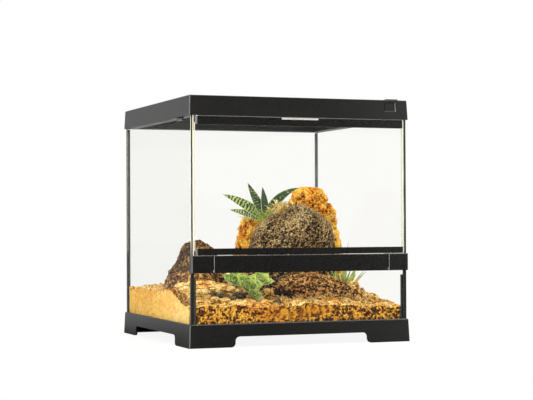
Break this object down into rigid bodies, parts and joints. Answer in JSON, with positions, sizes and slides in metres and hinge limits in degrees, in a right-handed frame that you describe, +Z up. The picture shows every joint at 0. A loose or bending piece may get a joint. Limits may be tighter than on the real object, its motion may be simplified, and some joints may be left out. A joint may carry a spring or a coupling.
{
  "type": "reptile terrarium",
  "caption": "Glass terrarium with a side-hung front door, a hinged screen lid, a raised base frame and furnished with rocks, substrate and plants.",
  "frame": {"origin": "on the ground, under the centre of the glass box", "axes": "+X to the right seen from the front, -Y towards the front door, +Z up"},
  "size_m": [0.307, 0.311, 0.3204],
  "materials": {
    "black_frame": "satin moulded",
    "black_rail": "satin extruded",
    "clear_glass": "polished float glass",
    "black_silicone": "smooth sealant",
    "steel": "bright",
    "vent_metal": "perforated sheet",
    "mesh_metal": "fine dark mesh",
    "magnet": "plated magnet",
    "substrate": "loose crumbly substrate",
    "tan_rock": "rough",
    "pale_rock": "rough",
    "dark_rock": "porous",
    "orange_rock": "rough",
    "brown_rock": "rough",
    "grey_stone": "rough",
    "dark_leaf": "waxy leaf with pale bands",
    "pale_leaf": "waxy leaf with pale edge",
    "blade_leaf": "thin leaf blade"
  },
  "bodies": {
    "tank": {"base_frame": "black_frame", "bottom_glass": "clear_glass", "back_glass": "clear_glass", "left_glass": "clear_glass", "right_glass": "clear_glass", "lower_front_glass": "clear_glass", "silicone_seams": "black_silicone", "lid_frame": "black_frame", "lid_magnet": "magnet", "bar_end_block_left": "black_rail", "bar_end_block_right": "black_rail", "bar_channel": "black_rail", "vent_strip": "vent_metal", "substrate_bed": "substrate", "cone_rock": "tan_rock", "ledge_rock": "pale_rock", "dome_rock": "dark_rock", "orange_rock": "orange_rock", "low_rock": "brown_rock", "small_stones": "grey_stone", "striped_plant": "dark_leaf", "rosette_plant": "pale_leaf", "blade_plant": "blade_leaf"},
    "door": {"door_glass": "clear_glass", "door_top_rail": "black_rail", "door_bottom_rail": "black_rail", "door_pivot_pins": "steel", "door_strike_strip": "steel"},
    "latch": {"latch_bar": "black_rail", "latch_pins": "steel", "latch_magnets": "magnet"},
    "screen": {"screen_frame": "black_frame", "screen_mesh": "mesh_metal", "screen_hinge_pins": "steel"},
    "release_button": {"screen_button": "black_frame"},
    "shutter_left": {"cable_shutter_left": "black_frame"},
    "shutter_right": {"cable_shutter_right": "black_frame"}
  },
  "joints": [
    {"name": "door_hinge", "type": "hinge", "parent": "tank", "child": "door", "pos_m": [-0.14055, -0.14875, 0.2], "axis": [0, 0, -1], "range_deg": [0, 110]},
    {"name": "latch_tilt", "type": "hinge", "parent": "tank", "child": "latch", "pos_m": [0, -0.1532, 0.0966], "axis": [1, 0, 0], "range_deg": [0, 25]},
    {"name": "screen_hinge", "type": "hinge", "parent": "tank", "child": "screen", "pos_m": [0, 0.1414, 0.3122], "axis": [-1, 0, 0], "range_deg": [0, 85]},
    {"name": "button_press", "type": "slide", "parent": "tank", "child": "release_button", "axis": [0, 1, 0], "range_m": [0, 0.0015], "stiffness_N_per_m": 600},
    {"name": "shutter_left_slide", "type": "slide", "parent": "tank", "child": "shutter_left", "axis": [1, 0, 0], "range_m": [0, 0.032]},
    {"name": "shutter_right_slide", "type": "slide", "parent": "tank", "child": "shutter_right", "axis": [-1, 0, 0], "range_m": [0, 0.032]}
  ]
}
